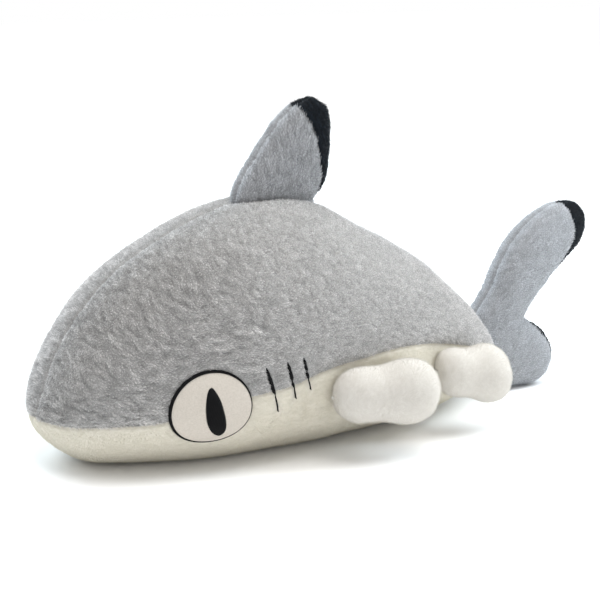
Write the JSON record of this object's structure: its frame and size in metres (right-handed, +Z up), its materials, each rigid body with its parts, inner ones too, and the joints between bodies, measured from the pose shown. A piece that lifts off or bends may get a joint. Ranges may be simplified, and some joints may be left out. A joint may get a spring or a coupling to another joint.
{
  "type": "plush shark",
  "caption": "Stuffed toy shark lying on a flat belly, with a bending dorsal fin, a swinging two-lobed tail and stub fins that splay outward.",
  "frame": {"origin": "on the floor under the middle of the toy's bounding box", "axes": "+X from nose to tail, +Y towards the shark's right flank, +Z up; the toy lies on its belly"},
  "size_m": [0.4798, 0.2556, 0.244],
  "materials": {
    "grey_plush": "mid-grey plush with a 4 mm directional pile, lighter where the tips catch the light",
    "white_plush": "warm white plush with a short even pile",
    "stub_plush": "warm white velboa with a very short smooth pile",
    "black_plush": "near-black plush with a faint blue sheen",
    "eye_fabric": "smooth warm white felt-like fabric",
    "black_thread": "satin-stitched black embroidery thread",
    "white_thread": "matte white sewing thread",
    "fibre_fill": "loose white polyester fibre, not seen from outside"
  },
  "bodies": {
    "trunk": {"back_panel_left": "grey_plush", "back_panel_right": "grey_plush", "belly_panel": "white_plush", "body_stuffing": "fibre_fill", "closing_stitches": "white_thread", "eye_patch_left": "eye_fabric", "eye_patch_right": "eye_fabric", "eye_outline_left": "black_thread", "eye_outline_right": "black_thread", "pupil_left": "black_thread", "pupil_right": "black_thread", "gill_stitch_left_1": "black_thread", "gill_stitch_left_2": "black_thread", "gill_stitch_left_3": "black_thread", "gill_stitch_right_1": "black_thread", "gill_stitch_right_2": "black_thread", "gill_stitch_right_3": "black_thread"},
    "dorsal_fin": {"dorsal_fin_face_left": "grey_plush", "dorsal_fin_face_right": "grey_plush", "dorsal_fin_tip_left": "black_plush", "dorsal_fin_tip_right": "black_plush", "dorsal_fin_stuffing": "fibre_fill"},
    "tail": {"tail_face_left": "grey_plush", "tail_face_right": "grey_plush", "tail_upper_tip_left": "black_plush", "tail_upper_tip_right": "black_plush", "tail_lower_tip_left": "black_plush", "tail_lower_tip_right": "black_plush", "tail_stuffing": "fibre_fill"},
    "pectoral_fin_left": {"pectoral_fin_top_left": "stub_plush", "pectoral_fin_bottom_left": "stub_plush", "pectoral_fin_stuffing_left": "fibre_fill"},
    "pectoral_fin_right": {"pectoral_fin_top_right": "stub_plush", "pectoral_fin_bottom_right": "stub_plush", "pectoral_fin_stuffing_right": "fibre_fill"},
    "pelvic_fin_left": {"pelvic_fin_top_left": "stub_plush", "pelvic_fin_bottom_left": "stub_plush", "pelvic_fin_stuffing_left": "fibre_fill"},
    "pelvic_fin_right": {"pelvic_fin_top_right": "stub_plush", "pelvic_fin_bottom_right": "stub_plush", "pelvic_fin_stuffing_right": "fibre_fill"}
  },
  "joints": [
    {"name": "dorsal_fin_bend", "type": "hinge", "parent": "trunk", "child": "dorsal_fin", "pos_m": [-0.05, 0, 0.17], "axis": [0.9945, 0, -0.1045], "range_deg": [-20, 20], "stiffness_Nm_per_rad": 0.08},
    {"name": "tail_swing", "type": "hinge", "parent": "trunk", "child": "tail", "pos_m": [0.144, 0, 0.035], "axis": [-0.5, 0, 0.866], "range_deg": [-30, 30], "stiffness_Nm_per_rad": 0.08},
    {"name": "pectoral_fin_left_splay", "type": "hinge", "parent": "trunk", "child": "pectoral_fin_left", "pos_m": [-0.058, -0.0918, 0.047], "axis": [0, 0, -1], "range_deg": [0, 40], "stiffness_Nm_per_rad": 0.05},
    {"name": "pectoral_fin_right_splay", "type": "hinge", "parent": "trunk", "child": "pectoral_fin_right", "pos_m": [-0.058, 0.0918, 0.047], "axis": [0, 0, 1], "range_deg": [0, 40], "stiffness_Nm_per_rad": 0.05},
    {"name": "pelvic_fin_left_splay", "type": "hinge", "parent": "trunk", "child": "pelvic_fin_left", "pos_m": [0.038, -0.081, 0.047], "axis": [0, 0, -1], "range_deg": [0, 40], "stiffness_Nm_per_rad": 0.04},
    {"name": "pelvic_fin_right_splay", "type": "hinge", "parent": "trunk", "child": "pelvic_fin_right", "pos_m": [0.038, 0.081, 0.047], "axis": [0, 0, 1], "range_deg": [0, 40], "stiffness_Nm_per_rad": 0.04}
  ]
}
